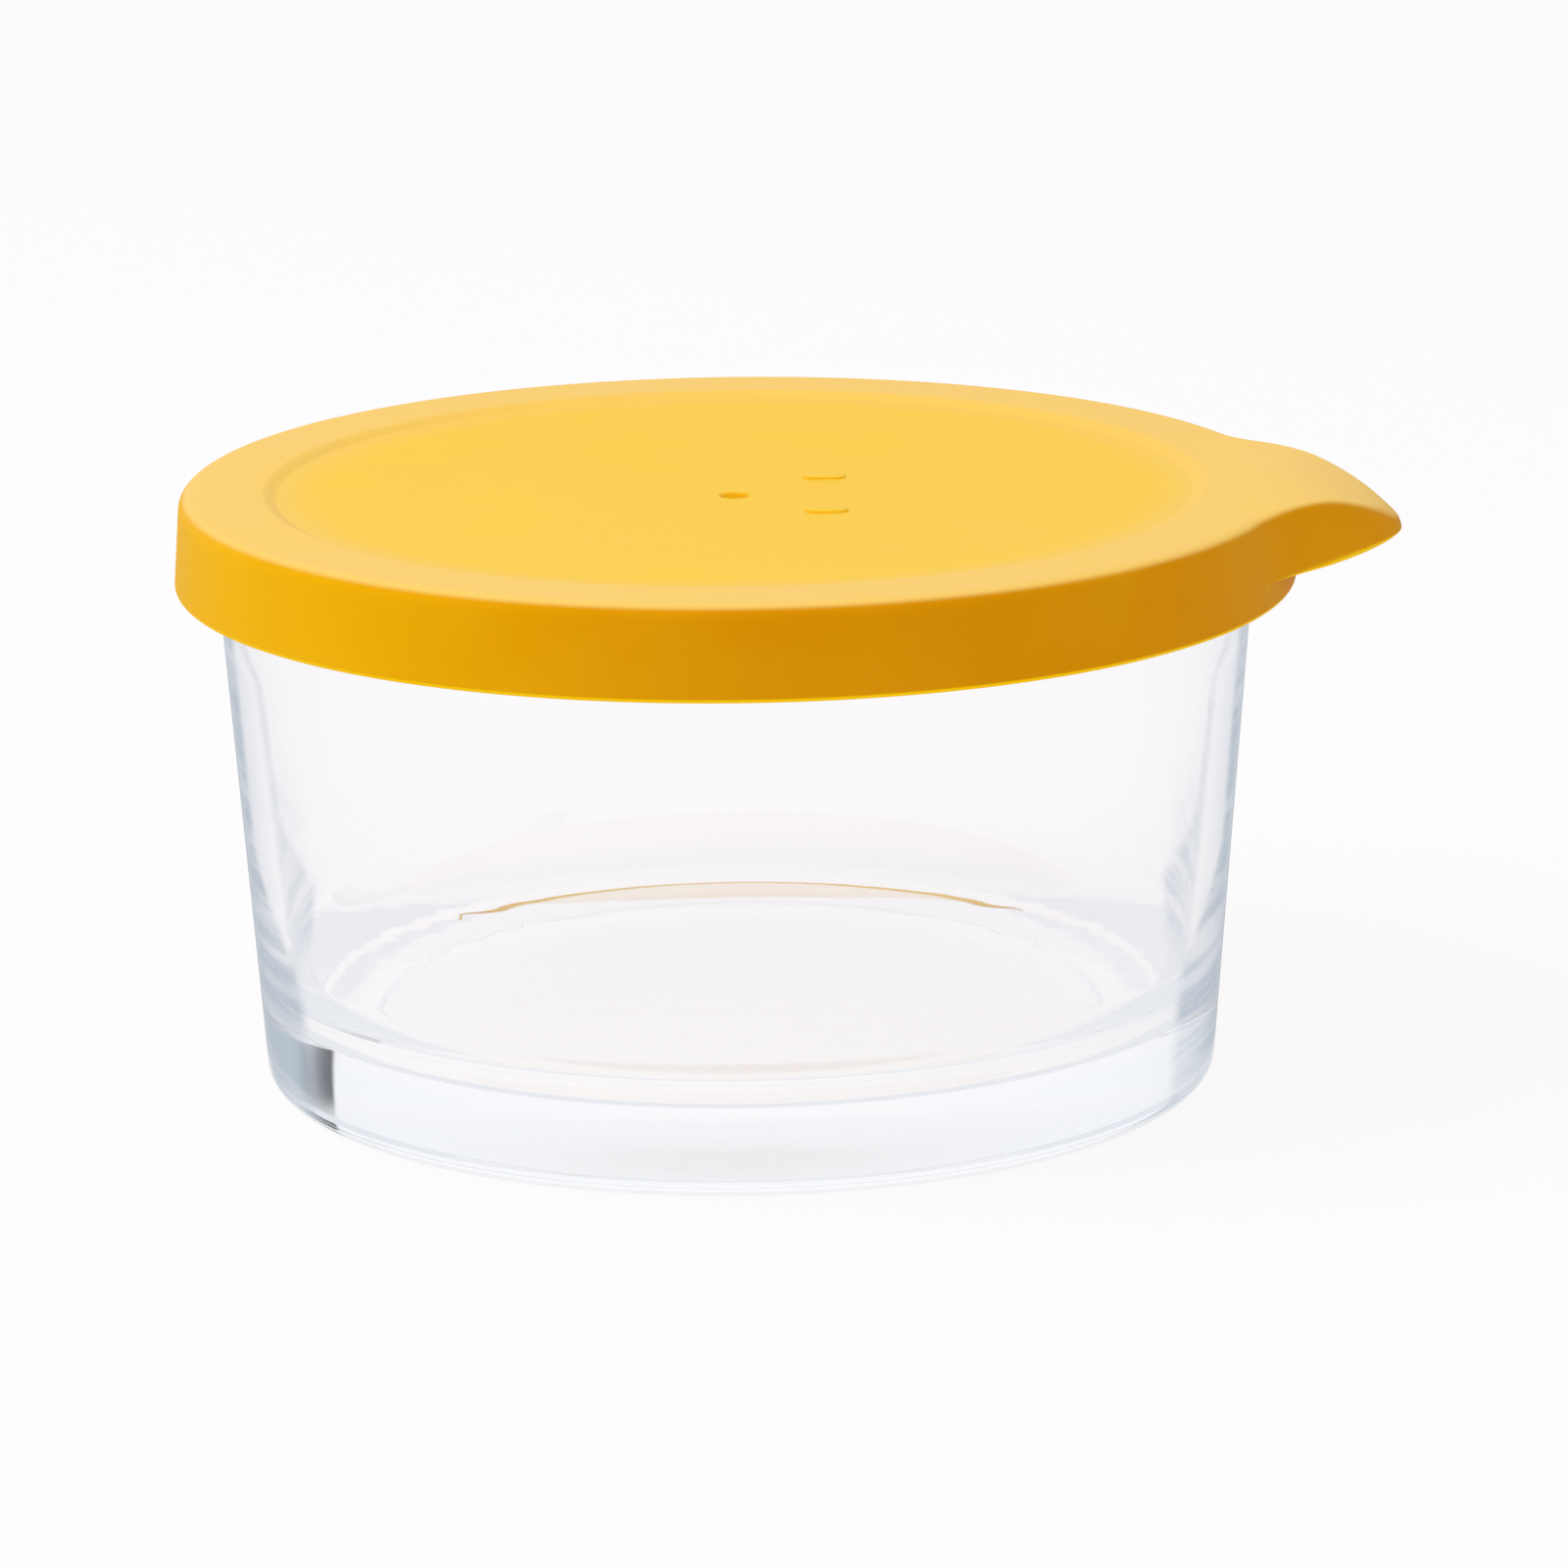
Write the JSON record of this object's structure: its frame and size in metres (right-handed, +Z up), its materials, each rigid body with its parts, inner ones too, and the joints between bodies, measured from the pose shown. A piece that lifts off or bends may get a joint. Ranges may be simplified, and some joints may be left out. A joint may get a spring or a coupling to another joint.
{
  "type": "round glass food container",
  "caption": "Round clear glass bowl for keeping food, with a thick flat floor and a slightly flared wall, closed by a soft yellow push-on lid with a drooping pull tab.",
  "frame": {"origin": "the middle of the flat ring that the bowl stands on, on the bowl's axis", "axes": "+Z is up along the bowl's axis, +X points out through the lid's pull tab, +Y completes the right-handed frame"},
  "size_m": [0.1494, 0.136, 0.0739],
  "materials": {
    "glass": "clear pressed soda-lime glass, fire-polished",
    "lid_plastic": "soft moulded plastic with a fine matte skin"
  },
  "bodies": {
    "root": {"glass_bowl": "glass", "lid": "lid_plastic"}
  },
  "joints": []
}
